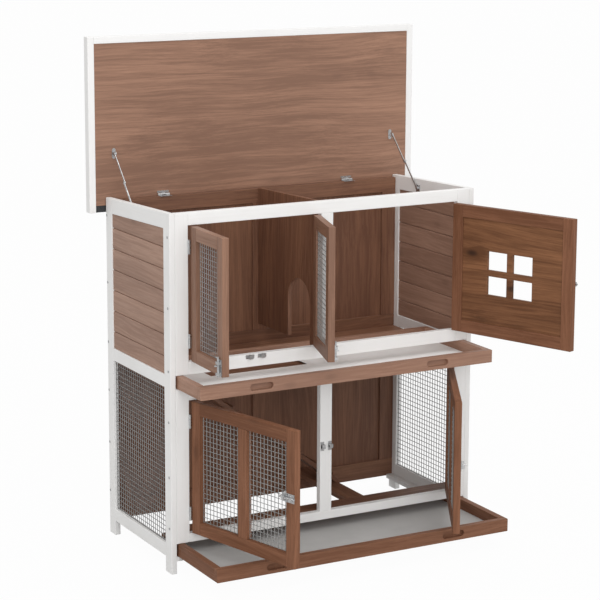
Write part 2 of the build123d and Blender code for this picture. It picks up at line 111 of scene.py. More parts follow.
middle = (cad_low + cad_high) / 2
soft_lamp("key_softbox", (-1.2, -4.4, 1.9), middle, 2.8, 2.4, 58.0)
soft_lamp("overhead_softbox", (0.3, -1.4, 4.2), middle, 3.4, 3.0, 44.0)

bpy.ops.mesh.primitive_plane_add(size=160.0, location=(0.0, 0.0, 0.0))
floor = bpy.context.object
floor.name = "studio_floor"
floor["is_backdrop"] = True
floor_paper = bpy.data.materials.new("studio_floor")
floor_paper.use_nodes = True
tree = floor_paper.node_tree
shade = tree.nodes["Principled BSDF"]
shade.inputs["Base Color"].default_value = (0.6, 0.6, 0.6, 1.0)
shade.inputs["Roughness"].default_value = 0.9
lit = tree.nodes.new("ShaderNodeEmission")
lit.inputs["Strength"].default_value = 1.0
seen = tree.nodes.new("ShaderNodeLightPath")
share = tree.nodes.new("ShaderNodeMapRange")
share.inputs["To Max"].default_value = 0.97
blend = tree.nodes.new("ShaderNodeMixShader")
tree.links.new(seen.outputs["Is Camera Ray"], share.inputs["Value"])
tree.links.new(share.outputs["Result"], blend.inputs["Fac"])
tree.links.new(shade.outputs["BSDF"], blend.inputs[1])
tree.links.new(lit.outputs["Emission"], blend.inputs[2])
tree.links.new(blend.outputs["Shader"], tree.nodes["Material Output"].inputs["Surface"])
floor.data.materials.append(floor_paper)


# ---------------------------------------------------------------- side walls
# Each side is two softwood stiles that run down as legs, with three rails between
# them, screwed from the outside and sprayed satin white.
draw = random.Random(41)


def axis_vector(letter):
    return Vector([1.0 if letter == c else 0.0 for c in "xyz"])


def keep_grain(piece, along, across):
    """Stores where each point lay in its plank: along, across and through the grain."""
    through = along.cross(across)
    start = Vector([draw.uniform(0.0, 40.0) for _ in range(3)])
    grain = piece.data.attributes.new("grain", "FLOAT_VECTOR", "POINT")
    for i, v in enumerate(piece.data.vertices):
        grain.data[i].vector = start + Vector((v.co.dot(along), v.co.dot(across), v.co.dot(through)))


def block(x, y, z):
    """A plain box between two coordinates each way."""
    bpy.ops.object.select_all(action="DESELECT")
    low = Vector((x[0], y[0], z[0]))
    high = Vector((x[1], y[1], z[1]))
    bpy.ops.mesh.primitive_cube_add(size=1.0, location=(low + high) / 2)
    made = bpy.context.object
    made.scale = high - low
    bpy.ops.object.transform_apply(location=True, rotation=False, scale=True)
    return made


def trimmed(cuts):
    """In edit mode, takes off what lies beyond each plane and closes the cut."""
    for point, normal in cuts:
        bpy.ops.mesh.select_all(action="SELECT")
        bpy.ops.mesh.bisect(plane_co=point, plane_no=normal, use_fill=True, clear_outer=True)


def board(x, y, z, grain="x", ease=0.0012, cuts=()):
    """One planed board, cut by planes, its edges eased by sanding."""
    made = block(x, y, z)
    bpy.ops.object.mode_set(mode="EDIT")
    trimmed(cuts)
    bpy.ops.mesh.select_all(action="SELECT")
    bpy.ops.mesh.bevel(offset=ease, segments=2, affect="EDGES")
    bpy.ops.object.mode_set(mode="OBJECT")
    across = {"x": "z", "y": "z", "z": "x"}[grain]
    keep_grain(made, axis_vector(grain), axis_vector(across))
    return made


def joined(name, parts):
    """Parts made one at a time become one piece."""
    bpy.ops.object.select_all(action="DESELECT")
    for part in parts:
        part.select_set(True)
    bpy.context.view_layer.objects.active = parts[0]
    if len(parts) > 1:
        bpy.ops.object.join()
    whole = bpy.context.object
    whole.name = name
    whole.data.name = name
    return whole


def planed(piece):
    """Soft light on the eased edges, flat light on the faces."""
    bpy.ops.object.select_all(action="DESELECT")
    piece.select_set(True)
    bpy.context.view_layer.objects.active = piece
    bpy.ops.object.shade_smooth_by_angle(angle=math.radians(50))
    bpy.ops.object.modifier_add(type="WEIGHTED_NORMAL")
    piece.modifiers[-1].keep_sharp = True
    bpy.ops.object.modifier_apply(modifier=piece.modifiers[-1].name)
    return piece


def fit(piece, material, body, slot, *nodes):
    """Gives a finished piece its material and its body, and hides the CAD nodes it stands for; the slot is
    not used.
    """
    piece.data.materials.clear()
    piece.data.materials.append(material)
    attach(piece, body)
    if nodes:
        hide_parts(*nodes)


def new_material(name):
    """An empty material and its shader."""
    made = bpy.data.materials.new(name)
    made.use_nodes = True
    return made, made.node_tree, made.node_tree.nodes["Principled BSDF"]


def new_group(name, inputs, outputs):
    """A shader group with named sockets, given as (name, kind, value)."""
    group = bpy.data.node_groups.new(name, "ShaderNodeTree")
    for label, kind, value in inputs:
        group.interface.new_socket(label, in_out="INPUT", socket_type=kind).default_value = value
    for label, kind in outputs:
        group.interface.new_socket(label, in_out="OUTPUT", socket_type=kind)
    return group, group.nodes.new("NodeGroupInput"), group.nodes.new("NodeGroupOutput")


def stretched(group, source, scale):
    """Coordinates squeezed by a factor each way, which stretches a pattern along the grain."""
    node = group.nodes.new("ShaderNodeVectorMath")
    node.operation = "MULTIPLY"
    node.inputs[1].default_value = scale
    group.links.new(source, node.inputs[0])
    return node.outputs[0]


def noise(group, source, detail=3.0, rough=0.55, scale=1.0):
    node = group.nodes.new("ShaderNodeTexNoise")
    node.inputs["Scale"].default_value = scale
    node.inputs["Detail"].default_value = detail
    node.inputs["Roughness"].default_value = rough
    group.links.new(source, node.inputs["Vector"])
    return node


def sums(group, kind, a, b):
    """Arithmetic on two sockets or numbers."""
    node = group.nodes.new("ShaderNodeMath")
    node.operation = kind
    for socket, value in zip(node.inputs, (a, b)):
        if isinstance(value, (int, float)):
            socket.default_value = value
        else:
            group.links.new(value, socket)
    return node.outputs[0]


def ranged(group, value, low, high, to_low=0.0, to_high=1.0):
    """A value moved from one range to another, held at the ends."""
    node = group.nodes.new("ShaderNodeMapRange")
    node.interpolation_type = "SMOOTHSTEP"
    for label, number in (("From Min", low), ("From Max", high), ("To Min", to_low), ("To Max", to_high)):
        node.inputs[label].default_value = number
    group.links.new(value, node.inputs["Value"])
    return node.outputs["Result"]


def mixed(group, factor, a, b):
    """A blend of two colours."""
    node = group.nodes.new("ShaderNodeMix")
    node.data_type = "RGBA"
    for socket, value in ((node.inputs[0], factor), (node.inputs[6], a), (node.inputs[7], b)):
        if isinstance(value, (int, float, tuple)):
            socket.default_value = value
        else:
            group.links.new(value, socket)
    return node.outputs[2]


def grain_place(group):
    """The place in the plank that keep_grain stored."""
    node = group.nodes.new("ShaderNodeAttribute")
    node.attribute_name = "grain"
    return node.outputs["Vector"]


# White satin enamel over softwood: the spray leaves a fine orange peel, the grain
# shows through very faintly, and the sheen is a little uneven.
enamel, enamel_in, enamel_out = new_group(
    "satin_enamel",
    [
        ("Colour", "NodeSocketColor", (0.8, 0.8, 0.8, 1.0)),
        ("Soiled", "NodeSocketColor", (0.7, 0.7, 0.7, 1.0)),
    ],
    [("Colour", "NodeSocketColor"), ("Roughness", "NodeSocketFloat"), ("Height", "NodeSocketFloat")],
)
place = grain_place(enamel)
telegraph = noise(enamel, stretched(enamel, place, (9.0, 260.0, 260.0)), 4.0).outputs["Fac"]
peel = noise(enamel, stretched(enamel, place, (900.0, 900.0, 900.0)), 1.0).outputs["Fac"]
cloud = noise(enamel, stretched(enamel, place, (5.0, 11.0, 11.0)), 2.0).outputs["Fac"]
patches = ranged(enamel, cloud, 0.45, 0.75, 0.0, 0.55)
lines = ranged(enamel, telegraph, 0.5, 0.8, 0.0, 0.45)
uneven = sums(enamel, "ADD", patches, lines)
tinted = mixed(enamel, uneven, enamel_in.outputs["Colour"], enamel_in.outputs["Soiled"])
enamel.links.new(tinted, enamel_out.inputs["Colour"])
enamel.links.new(ranged(enamel, cloud, 0.3, 0.7, 0.36, 0.5), enamel_out.inputs["Roughness"])
relief = sums(enamel, "ADD", sums(enamel, "MULTIPLY", telegraph, 0.7), sums(enamel, "MULTIPLY", peel, 0.3))
enamel.links.new(relief, enamel_out.inputs["Height"])


def raised(nodes, shader, height, strength, depth):
    """Fine relief on a shader, from a height."""
    relief = nodes.nodes.new("ShaderNodeBump")
    relief.inputs["Strength"].default_value = strength
    relief.inputs["Distance"].default_value = depth
    nodes.links.new(height, relief.inputs["Height"])
    nodes.links.new(relief.outputs["Normal"], shader.inputs["Normal"])


def finished(name, group, colours, bump, depth, coat=0.0, shine=0.5):
    """A wood finish: the group's colour, sheen and relief on a shader."""
    made, nodes, shader = new_material(name)
    effect = nodes.nodes.new("ShaderNodeGroup")
    effect.node_tree = group
    for label, value in colours.items():
        effect.inputs[label].default_value = value
    raised(nodes, shader, effect.outputs["Height"], bump, depth)
    nodes.links.new(effect.outputs["Colour"], shader.inputs["Base Color"])
    nodes.links.new(effect.outputs["Roughness"], shader.inputs["Roughness"])
    shader.inputs["Specular IOR Level"].default_value = shine
    shader.inputs["Coat Weight"].default_value = coat
    shader.inputs["Coat Roughness"].default_value = 0.35
    return made


white_enamel = finished(
    "white_enamel",
    enamel,
    {"Colour": (0.885, 0.882, 0.876, 1.0), "Soiled": (0.825, 0.82, 0.81, 1.0)},
    0.35,
    0.0004,
)

STILE = 0.036
SIDE_TOP = 0.933
SIDE_FALL = 0.014
RAIL_TOP = 0.040
ABOVE_SLOPE = 0.96
BELOW_TOP_RAIL = 0.80
RAIL_MIDDLE = (0.485, 0.518)
RAIL_FOOT = (0.040, 0.074)


def roof_slope(low, high, drop=0.0):
    """The plane of the side's sloping top edge, which falls towards the back."""
    point = Vector((0.0, low.y, SIDE_TOP - drop))
    normal = Vector((0.0, SIDE_FALL, high.y - low.y)).normalized()
    return point, normal


def side_frame(node):
    low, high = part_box(node)
    x = (low.x, high.x)
    front = (low.y, low.y + STILE)
    rear = (high.y - STILE, high.y)
    between = (front[1], rear[0])
    top = roof_slope(low, high)
    point, normal = roof_slope(low, high, RAIL_TOP)
    return [
        board(x, front, (0.0, ABOVE_SLOPE), "z", cuts=[top]),
        board(x, rear, (0.0, ABOVE_SLOPE), "z", cuts=[top]),
        board(x, between, (BELOW_TOP_RAIL, ABOVE_SLOPE), "y", cuts=[top, (point, -normal)]),
        board(x, between, RAIL_MIDDLE, "y"),
        board(x, between, RAIL_FOOT, "y"),
    ]


for side in ("left", "right"):
    node = f"side_frame_{side}"
    fit(planed(joined(f"{side}_side_frame", side_frame(node))), white_enamel, "hutch", "white_wood", node)


# Seven tongued boards fill the upper half of each side. Their long edges are
# chamfered, which leaves a V-groove at each joint with the tongue deep inside it.
timber, timber_in, timber_out = new_group(
    "stained_timber",
    [
        ("Light", "NodeSocketColor", (0.3, 0.18, 0.12, 1.0)),
        ("Dark", "NodeSocketColor", (0.18, 0.1, 0.06, 1.0)),
        ("Knot", "NodeSocketColor", (0.08, 0.04, 0.025, 1.0)),
        ("Knots", "NodeSocketFloat", 0.5),
    ],
    [("Colour", "NodeSocketColor"), ("Roughness", "NodeSocketFloat"), ("Height", "NodeSocketFloat")],
)
place = grain_place(timber)
sway = noise(timber, stretched(timber, place, (2.2, 5.0, 5.0)), 1.0)
centred = timber.nodes.new("ShaderNodeVectorMath")
centred.operation = "SUBTRACT"
centred.inputs[1].default_value = (0.5, 0.5, 0.5)
timber.links.new(sway.outputs["Color"], centred.inputs[0])
bent = timber.nodes.new("ShaderNodeVectorMath")
bent.operation = "MULTIPLY_ADD"
bent.inputs[1].default_value = (0.0, 0.05, 0.05)
timber.links.new(centred.outputs[0], bent.inputs[0])
timber.links.new(place, bent.inputs[2])
flow = bent.outputs[0]

rings = timber.nodes.new("ShaderNodeTexWave")
rings.wave_type = "BANDS"
rings.bands_direction = "Y"
rings.inputs["Scale"].default_value = 9.0
rings.inputs["Distortion"].default_value = 5.5
rings.inputs["Detail"].default_value = 3.0
rings.inputs["Detail Scale"].default_value = 0.55
timber.links.new(stretched(timber, flow, (0.55, 1.4, 1.4)), rings.inputs["Vector"])
band = noise(timber, stretched(timber, flow, (1.8, 56.0, 56.0)), 4.0, 0.62).outputs["Fac"]
streak = noise(timber, stretched(timber, flow, (6.0, 185.0, 185.0)), 4.0, 0.6).outputs["Fac"]
fibre = noise(timber, stretched(timber, flow, (26.0, 1150.0, 1150.0)), 2.0).outputs["Fac"]
pores = noise(timber, stretched(timber, flow, (60.0, 2400.0, 2400.0)), 1.0).outputs["Fac"]
tone = noise(timber, stretched(timber, place, (1.1, 5.0, 5.0)), 2.0).outputs["Fac"]

eye = timber.nodes.new("ShaderNodeTexVoronoi")
eye.feature = "F1"
eye.voronoi_dimensions = "2D"
eye.inputs["Scale"].default_value = 1.0
eye.inputs["Randomness"].default_value = 1.0
timber.links.new(stretched(timber, place, (6.5, 14.0, 14.0)), eye.inputs["Vector"])
more = sums(timber, "MULTIPLY", timber_in.outputs["Knots"], 0.45)
pick = sums(timber, "ADD", eye.outputs["Color"], more)
shown = ranged(timber, pick, 0.8, 0.86)
core = sums(timber, "MULTIPLY", ranged(timber, eye.outputs["Distance"], 0.17, 0.03), shown)
halo = sums(timber, "MULTIPLY", ranged(timber, eye.outputs["Distance"], 0.5, 0.1), shown)

figure = sums(timber, "MULTIPLY", ranged(timber, rings.outputs["Fac"], 0.1, 0.95), 0.06)
figure = sums(timber, "ADD", figure, ranged(timber, band, 0.3, 0.7, -0.08, 0.42))
figure = sums(timber, "ADD", figure, ranged(timber, streak, 0.3, 0.72, -0.08, 0.5))
figure = sums(timber, "ADD", figure, ranged(timber, fibre, 0.35, 0.75, -0.05, 0.28))
figure = sums(timber, "ADD", figure, ranged(timber, tone, 0.3, 0.7, -0.14, 0.46))
round_knots = sums(timber, "MULTIPLY", halo, sums(timber, "MULTIPLY", timber_in.outputs["Knots"], 0.75))
figure = sums(timber, "ADD", figure, round_knots)
stained = mixed(timber, figure, timber_in.outputs["Light"], timber_in.outputs["Dark"])
pore_mask = ranged(timber, pores, 0.66, 0.8, 0.0, 0.3)
stained = mixed(timber, pore_mask, stained, timber_in.outputs["Knot"])
knot_mask = sums(timber, "MULTIPLY", core, timber_in.outputs["Knots"])
timber.links.new(mixed(timber, knot_mask, stained, timber_in.outputs["Knot"]), timber_out.inputs["Colour"])
timber.links.new(ranged(timber, streak, 0.3, 0.75, 0.46, 0.62), timber_out.inputs["Roughness"])
relief = sums(timber, "MULTIPLY", fibre, -0.45)
relief = sums(timber, "ADD", relief, sums(timber, "MULTIPLY", streak, -0.35))
relief = sums(timber, "SUBTRACT", relief, sums(timber, "MULTIPLY", pore_mask, 0.5))
timber.links.new(relief, timber_out.inputs["Height"])


def stain(name, light, dark, knot, knots, bump=0.5, depth=0.0006, coat=0.0, shine=0.5):
    """One shade of stained timber, with more or fewer knots."""
    colours = {"Light": (*light, 1.0), "Dark": (*dark, 1.0), "Knot": (*knot, 1.0), "Knots": knots}
    return finished(name, timber, colours, bump, depth, coat, shine)


brown_stain = stain(
    "brown_stain", (0.43, 0.262, 0.19), (0.295, 0.17, 0.12), (0.10, 0.05, 0.032), 0.25, coat=0.08
)

PLANK_PITCH = 0.0558
PLANK_FIRST = 0.5628
PLANK_COUNT = 7
V_GROOVE = 0.0015
JOINT_GAP = 0.0018
TONGUE = (0.002, 0.006)


def chamfered_plank(x, y, z, cuts=()):
    """A side board with a 45 degree chamfer along its long edges."""
    made = block(x, y, z)
    bpy.ops.object.mode_set(mode="EDIT")
    trimmed(cuts)
    bpy.ops.mesh.select_mode(type="EDGE")
    bpy.ops.mesh.select_all(action="DESELECT")
    shape = bmesh.from_edit_mesh(made.data)
    for edge in shape.edges:
        run = edge.verts[1].co - edge.verts[0].co
        edge.select_set(abs(run.y) > 0.9 * (y[1] - y[0]))
    shape.select_flush_mode()
    bmesh.update_edit_mesh(made.data)
    bpy.ops.mesh.bevel(offset=V_GROOVE, segments=1, affect="EDGES")
    bpy.ops.mesh.select_mode(type="VERT")
    bpy.ops.object.mode_set(mode="OBJECT")
    keep_grain(made, axis_vector("y"), axis_vector("z"))
    return made


for side, sign in (("left", 1.0), ("right", -1.0)):
    node = f"side_planks_{side}"
    low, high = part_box(node)
    frame_low, frame_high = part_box(f"side_frame_{side}")
    planks = []
    for i in range(PLANK_COUNT):
        foot = low.z if i == 0 else PLANK_FIRST + (i - 1) * PLANK_PITCH + JOINT_GAP
        head = PLANK_FIRST + i * PLANK_PITCH if i < PLANK_COUNT - 1 else high.z
        cuts = [roof_slope(frame_low, frame_high, RAIL_TOP)] if i == PLANK_COUNT - 1 else []
        planks.append(chamfered_plank((low.x, high.x), (low.y, high.y), (foot, head), cuts))
    middle_x = (low.x + high.x) / 2
    for i in range(PLANK_COUNT - 1):
        z = PLANK_FIRST + i * PLANK_PITCH + JOINT_GAP / 2
        x = (middle_x - TONGUE[0] / 2, middle_x + TONGUE[0] / 2)
        ends = (low.y + 0.001, high.y - 0.001)
        planks.append(board(x, ends, (z - TONGUE[1] / 2, z + TONGUE[1] / 2), "y", 0.0002))
    fit(joined(f"{side}_side_planks", planks), brown_stain, "hutch", "brown_wood", node)


# The lower half of each side is open, with half-inch welded mesh of galvanised
# wire let into the frame. Both sets of wires are straight and welded where they cross.
WIRE = 0.0018
MESH_PITCH = 0.0127


def spots(nodes, scale, detail):
    """Noise laid out in the piece's own space."""
    where = nodes.nodes.new("ShaderNodeTexCoord")
    return noise(nodes, stretched(nodes, where.outputs["Object"], scale), detail).outputs["Fac"]


def galvanised():
    made, nodes, shader = new_material("galvanised_wire")
    spangle = spots(nodes, (420.0, 420.0, 420.0), 3.0)
    bright = (0.38, 0.378, 0.372, 1.0)
    dull = (0.22, 0.22, 0.22, 1.0)
    mottled = mixed(nodes, ranged(nodes, spangle, 0.35, 0.65), bright, dull)
    nodes.links.new(mottled, shader.inputs["Base Color"])
    nodes.links.new(ranged(nodes, spangle, 0.3, 0.7, 0.36, 0.58), shader.inputs["Roughness"])
    shader.inputs["Metallic"].default_value = 0.2
    return made


galvanised_wire = galvanised()


def wires(start, run, step, count):
    """Straight wires side by side: the first from start along run, the others a step apart."""
    bpy.ops.object.select_all(action="DESELECT")
    bpy.ops.mesh.primitive_cylinder_add(vertices=8, radius=WIRE / 2, depth=run.length)
    made = bpy.context.object
    made.rotation_mode = "QUATERNION"
    made.rotation_quaternion = run.to_track_quat("Z", "Y")
    made.location = start + run / 2
    bpy.ops.object.transform_apply(location=True, rotation=True, scale=True)
    bpy.ops.object.shade_smooth_by_angle(angle=math.radians(60))
    bpy.ops.object.modifier_add(type="ARRAY")
    row = made.modifiers[-1]
    row.count = count
    row.use_relative_offset = False
    row.use_constant_offset = True
    row.constant_offset_displace = step
    bpy.ops.object.modifier_apply(modifier=row.name)
    return made


def grille(corner, across, width, height, behind):
    """A sheet of welded mesh: upright wires, and level wires lying behind them."""
    nx = round((width - WIRE) / MESH_PITCH)
    nz = round((height - WIRE) / MESH_PITCH)
    px = (width - WIRE) / nx
    pz = (height - WIRE) / nz
    up = Vector((0.0, 0.0, 1.0))
    first = corner + across * WIRE / 2
    level = corner + up * WIRE / 2 + behind * WIRE * 0.8
    upright = wires(first, up * height, across * px, nx + 1)
    flat = wires(level, across * width, up * pz, nz + 1)
    return [upright, flat]


for side, out in (("left", -1.0), ("right", 1.0)):
    node = f"side_mesh_{side}"
    low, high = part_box(node)
    corner = Vector(((low.x + high.x) / 2, low.y, low.z))
    inwards = Vector((-out, 0.0, 0.0))
    sheet = grille(corner, Vector((0.0, 1.0, 0.0)), high.y - low.y, high.z - low.z, inwards)
    fit(joined(f"{side}_side_mesh", sheet), galvanised_wire, "hutch", "mesh", node)


# ---------------------------------------------------------------- front frames
# Above and below, the front is a white frame of outer stiles, a centre stile and
# two rails. The doors close inside these frames.
POST = 0.0365
CENTRE_POST = 0.035
for storey, rails in (("upper", (0.519, 0.552, 0.900, 0.932)), ("lower", (0.079, 0.102, 0.452, 0.4844))):
    node = f"front_frame_{storey}"
    low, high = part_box(node)
    y = (low.y, high.y)
    centre = (low.x + high.x) / 2
    inner = (low.x + POST, high.x - POST)
    parts = [
        board((low.x, inner[0]), y, (low.z, high.z), "z"),
        board((inner[1], high.x), y, (low.z, high.z), "z"),
        board(inner, y, rails[0:2], "x"),
        board(inner, y, rails[2:4], "x"),
        board((centre - CENTRE_POST / 2, centre + CENTRE_POST / 2), y, rails[1:3], "z"),
    ]
    fit(planed(joined(f"{storey}_front_frame", parts)), white_enamel, "hutch", "white_wood", node)


# ---------------------------------------------------------------- back wall
# The back is framed like a pair of panelled doors: rails and stiles round four
# thin sunk panels, all stained the same brown and left matt.
inner_stain = stain(
    "inner_stain", (0.255, 0.12, 0.067), (0.142, 0.061, 0.034), (0.07, 0.035, 0.022), 0.12
)

BACK_STILE = 0.044
BACK_RAILS = ((0.039, 0.089), (0.472, 0.518), (0.873, 0.913))
low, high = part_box("back_frame")
y = (low.y, high.y)
centre = (low.x + high.x) / 2
parts = [board((low.x, high.x), y, z, "x") for z in BACK_RAILS]
for lower_rail, upper_rail in zip(BACK_RAILS, BACK_RAILS[1:]):
    for x in (low.x, centre - BACK_STILE / 2, high.x - BACK_STILE):
        parts.append(board((x, x + BACK_STILE), y, (lower_rail[1], upper_rail[0]), "z"))
fit(planed(joined("back_wall_frame", parts)), inner_stain, "hutch", "inner_wood", "back_frame")

low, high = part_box("back_panels")
parts = []
for lower_rail, upper_rail in zip(BACK_RAILS, BACK_RAILS[1:]):
    for x in ((low.x, centre - BACK_STILE / 2), (centre + BACK_STILE / 2, high.x)):
        parts.append(board(x, (low.y, high.y), (lower_rail[1], upper_rail[0]), "z", 0.0004))
fit(joined("back_wall_panels", parts), inner_stain, "hutch", "inner_wood", "back_panels")


# ---------------------------------------------------------------- inside
# A board with a round-headed doorway divides the upper storey, and the upper floor
# is laid in four pieces round the hole that the ramp comes up through.
def eased_copy(name, node, along, across, ease):
    """A node's shape with its edges eased, for boards with openings cut in them."""
    bpy.ops.object.select_all(action="DESELECT")
    made = bpy.data.objects.new(name, frame["nodes"][node].data.copy())
    made.data.name = name
    scene.collection.objects.link(made)
    made.select_set(True)
    bpy.context.view_layer.objects.active = made
    bpy.ops.object.mode_set(mode="EDIT")
    bpy.ops.mesh.select_all(action="SELECT")
    bpy.ops.mesh.remove_doubles(threshold=0.00002)
    bpy.ops.mesh.dissolve_limited(angle_limit=math.radians(1.0))
    bpy.ops.mesh.select_mode(type="EDGE")
    bpy.ops.mesh.select_all(action="DESELECT")
    bpy.ops.mesh.edges_select_sharp(sharpness=math.radians(40.0))
    bpy.ops.mesh.bevel(offset=ease, segments=2, affect="EDGES", clamp_overlap=True)
    bpy.ops.mesh.select_mode(type="VERT")
    bpy.ops.object.mode_set(mode="OBJECT")
    keep_grain(made, along, across)
    return planed(made)


ALONG_X = Vector((1.0, 0.0, 0.0))
ALONG_Y = Vector((0.0, 1.0, 0.0))
UPWARDS = Vector((0.0, 0.0, 1.0))
divider = eased_copy("doorway_divider", "partition", UPWARDS, ALONG_Y, 0.001)
fit(divider, inner_stain, "hutch", "inner_wood", "partition")

FLOOR_HOLE_X = (0.1355, 0.4175)
FLOOR_HOLE_Y = (0.183, 0.295)
low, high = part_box("upper_floor")
z = (low.z, high.z)
parts = [
    board((low.x, FLOOR_HOLE_X[0]), (low.y, high.y), z, "x"),
    board((FLOOR_HOLE_X[1], high.x), (low.y, high.y), z, "x"),
    board(FLOOR_HOLE_X, (low.y, FLOOR_HOLE_Y[0]), z, "x"),
    board(FLOOR_HOLE_X, (FLOOR_HOLE_Y[1], high.y), z, "x"),
]
fit(planed(joined("upper_floor_boards", parts)), inner_stain, "hutch", "inner_wood", "upper_floor")

# Two flat boards tie the base: one along the front, and one back from it that the
# foot of the ramp stands on. White strips on the foot rails carry the lower tray.
BASE_FRONT = 0.052
BASE_BAR_X = (0.5485, 0.6005)
low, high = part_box("base_bars")
z = (low.z, high.z)
parts = [
    board((low.x, high.x), (low.y, low.y + BASE_FRONT), z, "x"),
    board(BASE_BAR_X, (low.y + BASE_FRONT, high.y), z, "y"),
]
# The base boards take the darker inside stain, which paints the shade they lie in under the lower tray.
fit(planed(joined("base_boards", parts)), inner_stain, "hutch", "brown_wood", "base_bars")
RUNNER = 0.02
low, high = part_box("tray_runners")
strips = ((low.x, low.x + RUNNER), (high.x - RUNNER, high.x))
parts = [board(x, (low.y, high.y), (low.z, high.z), "y") for x in strips]
fit(planed(joined("tray_runner_strips", parts)), white_enamel, "hutch", "white_wood", "tray_runners")

# The ramp is a sloping board with nine battens pinned across it for grip, hung at
# its upper end from a batten under the floor.
RAMP_END = 0.024
low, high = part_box("ramp_board")
slope = Vector((high.x - low.x, 0.0, low.z - high.z + RAMP_END)).normalized()
ramp = eased_copy("ramp_plank", "ramp_board", slope, ALONG_Y, 0.001)
fit(ramp, inner_stain, "hutch", "inner_wood", "ramp_board")
battens = eased_copy("ramp_battens", "ramp_cleats", ALONG_Y, slope, 0.0008)
fit(battens, inner_stain, "hutch", "inner_wood", "ramp_cleats")
low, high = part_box("ramp_hanger")
batten = board((low.x, high.x), (low.y, high.y), (low.z, high.z), "y")
hanger = planed(joined("ramp_hanging_batten", [batten]))
fit(hanger, inner_stain, "hutch", "inner_wood", "ramp_hanger")


# ---------------------------------------------------------------- trays
# Each storey has a drawer: four stained boards round a thin enamelled steel pan.
# The front board has two round-ended finger pulls routed into its face.
TRAY_WALL = 0.018
SLOT_FROM_CENTRE = 0.2595
SLOT_LENGTH = 0.065
SLOT_HEIGHT = 0.017
SLOT_DEEP = 0.012


def slot_cutter(x, y, z):
    """A round-ended bar as long as a finger pull, standing SLOT_DEEP into the face at y."""
    bpy.ops.object.select_all(action="DESELECT")
    bpy.ops.mesh.primitive_cylinder_add(
        vertices=32, radius=SLOT_HEIGHT / 2, depth=2 * SLOT_DEEP, location=(x, y, z)
    )
    made = bpy.context.object
    made.rotation_euler = (math.radians(90.0), 0.0, 0.0)
    bpy.ops.object.transform_apply(location=True, rotation=True, scale=True)
    half = (SLOT_LENGTH - SLOT_HEIGHT) / 2
    for v in made.data.vertices:
        v.co.x += half if v.co.x > x + 1e-5 else -half
    return made


def slotted_board(x, y, z):
    """The front board of a tray with its finger pulls routed in and rounded over."""
    made = block(x, y, z)
    for sign in (-1.0, 1.0):
        centre = (x[0] + x[1]) / 2
        cutter = slot_cutter(centre + sign * SLOT_FROM_CENTRE, y[0], (z[0] + z[1]) / 2)
        bpy.ops.object.select_all(action="DESELECT")
        made.select_set(True)
        bpy.context.view_layer.objects.active = made
        bpy.ops.object.modifier_add(type="BOOLEAN")
        made.modifiers[-1].operation = "DIFFERENCE"
        made.modifiers[-1].object = cutter
        bpy.ops.object.modifier_apply(modifier=made.modifiers[-1].name)
        bpy.data.objects.remove(cutter)
    bpy.ops.object.mode_set(mode="EDIT")
    bpy.ops.mesh.select_mode(type="EDGE")
    bpy.ops.mesh.select_all(action="DESELECT")
    bpy.ops.mesh.edges_select_sharp(sharpness=math.radians(40.0))
    bpy.ops.mesh.bevel(offset=0.0015, segments=3, affect="EDGES", clamp_overlap=True)
    bpy.ops.mesh.select_mode(type="VERT")
    bpy.ops.object.mode_set(mode="OBJECT")
    keep_grain(made, axis_vector("x"), axis_vector("z"))
    return made


def pan_enamel(name, clean, dull):
    made, nodes, shader = new_material(name)
    cloud = spots(nodes, (7.0, 7.0, 7.0), 4.0)
    scuff = spots(nodes, (40.0, 900.0, 900.0), 2.0)
    worn = ranged(nodes, cloud, 0.4, 0.7, 0.0, 0.6)
    tint = sums(nodes, "ADD", worn, ranged(nodes, scuff, 0.62, 0.8, 0.0, 0.25))
    nodes.links.new(mixed(nodes, tint, clean, dull), shader.inputs["Base Color"])
    nodes.links.new(ranged(nodes, cloud, 0.3, 0.7, 0.44, 0.6), shader.inputs["Roughness"])
    shader.inputs["Specular IOR Level"].default_value = 0.2
    raised(nodes, shader, scuff, 0.15, 0.0005)
    return made


# The lower pan is a darker grey copy of the pan enamel, which paints the shade the upper storey casts on
# it.
pan_finish = {
    "upper": pan_enamel("white_pan", (0.93, 0.926, 0.918, 1.0), (0.87, 0.865, 0.855, 1.0)),
    "lower": pan_enamel("grey_pan_painted_shade", (0.52, 0.512, 0.502, 1.0), (0.44, 0.433, 0.424, 1.0)),
}
# The lower tray's stain is a darker, redder copy of the upper one, which paints the shade under the upper
# storey.
tray_finish = {
    "upper": stain(
        "upper_tray_stain", (0.41, 0.233, 0.16), (0.285, 0.15, 0.098), (0.11, 0.055, 0.035), 0.25, coat=0.08
    ),
    "lower": stain(
        "lower_tray_stain_painted_shade",
        (0.27, 0.13, 0.077),
        (0.17, 0.075, 0.042),
        (0.075, 0.037, 0.023),
        0.25,
        shine=0.15,
    ),
}
for storey in ("upper", "lower"):
    body = f"tray_{storey}"
    low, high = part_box(f"{body}_frame")
    z = (low.z, high.z)
    sides = (low.y + TRAY_WALL, high.y - TRAY_WALL)
    parts = [
        slotted_board((low.x, high.x), (low.y, sides[0]), z),
        board((low.x, high.x), (sides[1], high.y), z, "x"),
        board((low.x, low.x + TRAY_WALL), sides, z, "y"),
        board((high.x - TRAY_WALL, high.x), sides, z, "y"),
    ]
    boards = planed(joined(f"{storey}_tray_boards", parts))
    fit(boards, tray_finish[storey], body, "brown_wood", f"{body}_frame")
    pan = eased_copy(f"{storey}_tray_pan", f"{body}_pan", ALONG_X, ALONG_Y, 0.0003)
    fit(pan, pan_finish[storey], body, "pan", f"{body}_pan")


